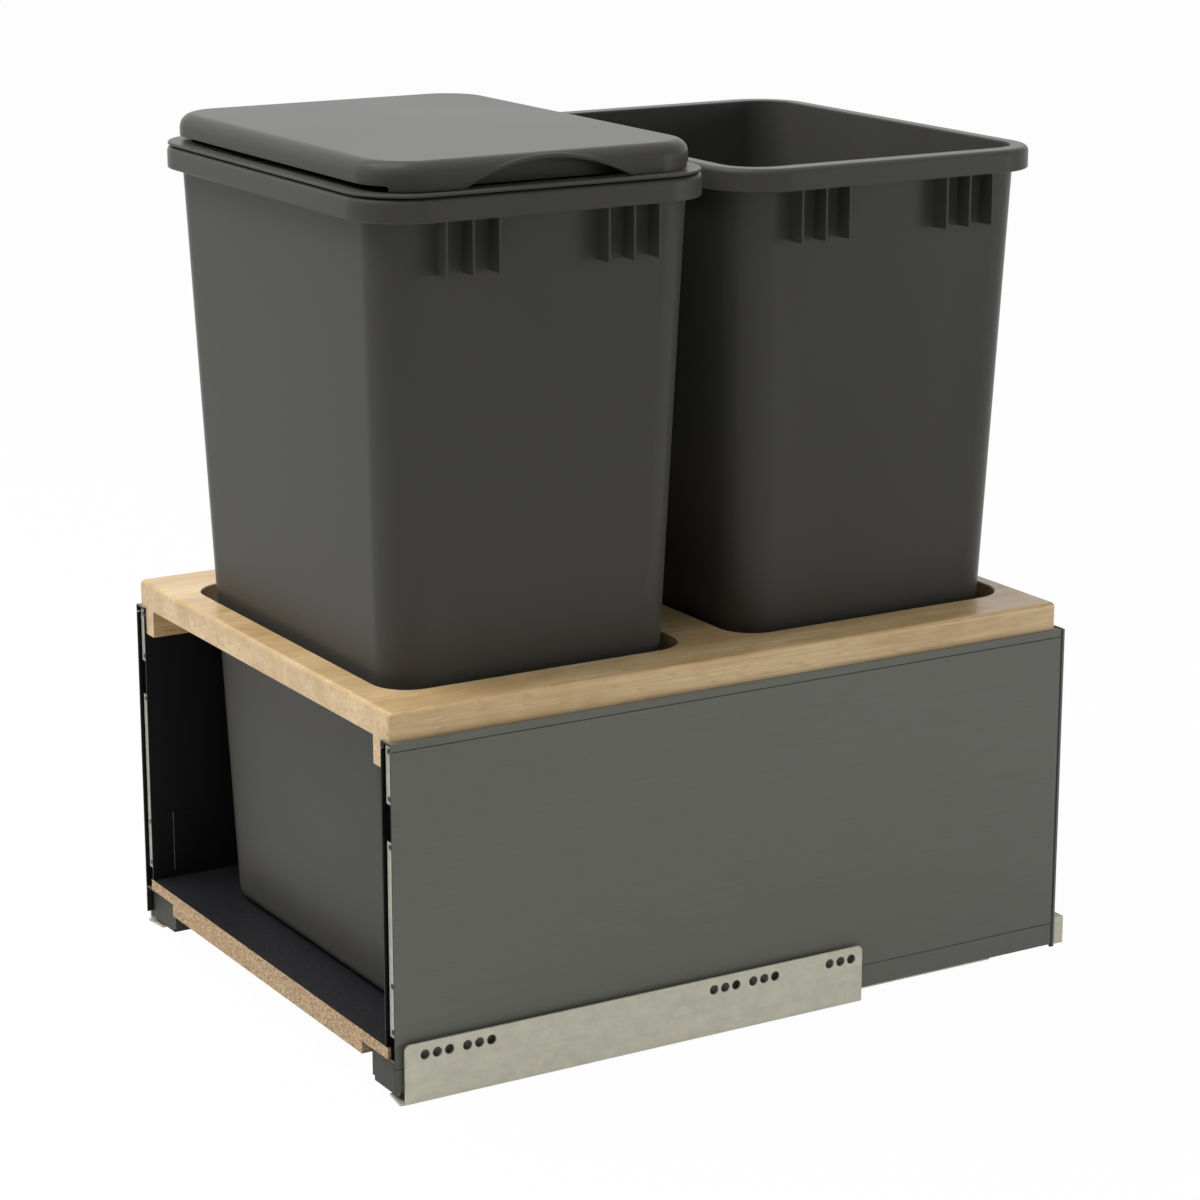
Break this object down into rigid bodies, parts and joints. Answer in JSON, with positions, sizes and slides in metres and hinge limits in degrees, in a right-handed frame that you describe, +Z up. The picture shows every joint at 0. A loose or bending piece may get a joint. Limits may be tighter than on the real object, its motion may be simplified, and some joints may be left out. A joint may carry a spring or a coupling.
{
  "type": "pull-out waste cabinet unit",
  "caption": "Bottom-mount pull-out waste unit: steel-sided drawer with a maple frame holding tall grey plastic bins, with a lid on the front bin.",
  "frame": {"origin": "centre of the bounding box in X and Y, on the underside of the cabinet rails", "axes": "+Z up, -Y the way the drawer pulls out, +X the right-hand side when looking along +Y"},
  "size_m": [0.381, 0.509, 0.5632],
  "materials": {
    "zinc_steel": "satin galvanised",
    "grey_steel": "matt powder coat",
    "black_steel": "matt black powder coat",
    "black_plastic": "matt",
    "grey_plastic": "matt",
    "cage_plastic": "matt",
    "roller_nylon": "satin",
    "screw_steel": "bright zinc",
    "board": "black laminate on chipboard",
    "maple": "clear satin lacquer",
    "bin_plastic": "satin"
  },
  "bodies": {
    "cabinet_rails": {"cabinet_rail_left": "zinc_steel", "cabinet_rail_right": "zinc_steel", "soft_closer_left": "grey_plastic", "soft_closer_right": "grey_plastic"},
    "mid_rail_right": {"mid_rail_right": "zinc_steel"},
    "lower_cage_right": {"lower_cage_right": "cage_plastic", "lower_rollers_right": "roller_nylon"},
    "upper_cage_right": {"upper_cage_right": "cage_plastic", "upper_rollers_right": "roller_nylon"},
    "mid_rail_left": {"mid_rail_left": "zinc_steel"},
    "lower_cage_left": {"lower_cage_left": "cage_plastic", "lower_rollers_left": "roller_nylon"},
    "upper_cage_left": {"upper_cage_left": "cage_plastic", "upper_rollers_left": "roller_nylon"},
    "front_bin": {"bin_front": "bin_plastic", "lid_ring": "bin_plastic", "lid_hinge_pins": "screw_steel"},
    "rear_bin": {"bin_rear": "bin_plastic"},
    "lid": {"lid_cover": "bin_plastic"},
    "drawer": {"drawer_rail_left": "zinc_steel", "drawer_rail_right": "zinc_steel", "front_bracket_upper_left": "zinc_steel", "front_bracket_upper_right": "zinc_steel", "front_bracket_lower_left": "zinc_steel", "front_bracket_lower_right": "zinc_steel", "back_bracket_left": "zinc_steel", "back_bracket_right": "zinc_steel", "inner_skin_left": "black_steel", "inner_skin_right": "black_steel", "outer_skin_left": "grey_steel", "outer_skin_right": "grey_steel", "top_trim_left": "grey_steel", "top_trim_right": "grey_steel", "side_foot_left": "grey_steel", "side_foot_right": "grey_steel", "end_frame_left": "black_plastic", "end_frame_right": "black_plastic", "front_lock_left": "grey_plastic", "front_lock_right": "grey_plastic", "closer_catch_left": "grey_plastic", "closer_catch_right": "grey_plastic", "cover_cap_left": "grey_plastic", "cover_cap_right": "grey_plastic", "lock_screws_left": "screw_steel", "lock_screws_right": "screw_steel", "front_adjusters_left": "screw_steel", "front_adjusters_right": "screw_steel", "cleat_screws_left": "screw_steel", "cleat_screws_right": "screw_steel", "side_screws_left": "screw_steel", "side_screws_right": "screw_steel", "base_screws": "screw_steel", "back_screws": "screw_steel", "base_panel": "board", "back_panel": "board", "top_frame": "maple", "cleat_left": "maple", "cleat_right": "maple"}
  },
  "joints": [
    {"name": "drawer_slide", "type": "slide", "parent": "cabinet_rails", "child": "drawer", "axis": [0, -1, 0], "range_m": [0, 0.5]},
    {"name": "mid_rail_right_slide", "type": "slide", "parent": "cabinet_rails", "child": "mid_rail_right", "axis": [0, -1, 0], "range_m": [0, 0.25]},
    {"name": "lower_cage_right_slide", "type": "slide", "parent": "cabinet_rails", "child": "lower_cage_right", "axis": [0, -1, 0], "range_m": [0, 0.125]},
    {"name": "upper_cage_right_slide", "type": "slide", "parent": "cabinet_rails", "child": "upper_cage_right", "axis": [0, -1, 0], "range_m": [0, 0.375]},
    {"name": "mid_rail_left_slide", "type": "slide", "parent": "cabinet_rails", "child": "mid_rail_left", "axis": [0, -1, 0], "range_m": [0, 0.25]},
    {"name": "lower_cage_left_slide", "type": "slide", "parent": "cabinet_rails", "child": "lower_cage_left", "axis": [0, -1, 0], "range_m": [0, 0.125]},
    {"name": "upper_cage_left_slide", "type": "slide", "parent": "cabinet_rails", "child": "upper_cage_left", "axis": [0, -1, 0], "range_m": [0, 0.375]},
    {"name": "front_bin_lift", "type": "slide", "parent": "drawer", "child": "front_bin", "axis": [0, 0, 1], "range_m": [0, 0.25]},
    {"name": "rear_bin_lift", "type": "slide", "parent": "drawer", "child": "rear_bin", "axis": [0, 0, 1], "range_m": [0, 0.25]},
    {"name": "lid_hinge", "type": "hinge", "parent": "front_bin", "child": "lid", "pos_m": [-0.149, -0.1264, 0.553], "axis": [0, -1, 0], "range_deg": [0, 95]}
  ],
  "couplings": [
    {"joint": "mid_rail_right_slide", "follows": "drawer_slide", "ratio": 0.5},
    {"joint": "lower_cage_right_slide", "follows": "drawer_slide", "ratio": 0.25},
    {"joint": "upper_cage_right_slide", "follows": "drawer_slide", "ratio": 0.75},
    {"joint": "mid_rail_left_slide", "follows": "drawer_slide", "ratio": 0.5},
    {"joint": "lower_cage_left_slide", "follows": "drawer_slide", "ratio": 0.25},
    {"joint": "upper_cage_left_slide", "follows": "drawer_slide", "ratio": 0.75}
  ]
}
